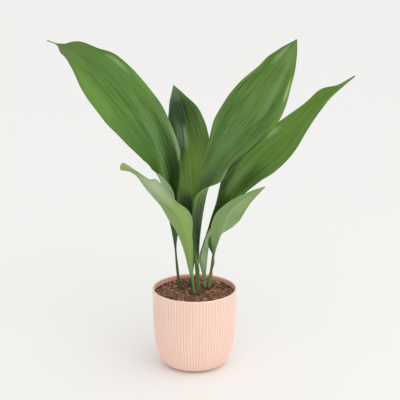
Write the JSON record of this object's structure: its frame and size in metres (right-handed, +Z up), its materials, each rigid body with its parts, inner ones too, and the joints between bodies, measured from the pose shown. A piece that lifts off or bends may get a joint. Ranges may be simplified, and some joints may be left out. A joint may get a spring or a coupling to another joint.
{
  "type": "potted cast iron plant",
  "caption": "Cast iron plant with broad pointed leaves on thin stalks, standing in soil in a round ribbed indoor pot.",
  "frame": {"origin": "centre of the pot's flat base, on the surface it stands on", "axes": "+Z up along the pot's axis, -Y towards the side the picture was taken from, +X to that viewer's right"},
  "size_m": [0.6342, 0.2274, 0.6884],
  "materials": {
    "pot_plastic": "satin moulded plastic in pale pink",
    "potting_mix": "loose dark brown potting mix of peat and fibre",
    "leaf_upper": "leathery dark green leaf with a soft sheen and fine lengthwise veins",
    "leaf_under": "leathery leaf seen mostly from its lighter green underside",
    "dry_sheath": "papery scale leaf, green below and dry brown at its tip"
  },
  "bodies": {
    "root": {"pot": "pot_plastic", "soil": "potting_mix", "leaf_left_large": "leaf_upper", "leaf_centre_back": "leaf_upper", "leaf_right_large": "leaf_upper", "leaf_right_arching": "leaf_upper", "leaf_front_left": "leaf_under", "leaf_front_right": "leaf_under", "scale_leaf": "dry_sheath"}
  },
  "joints": []
}
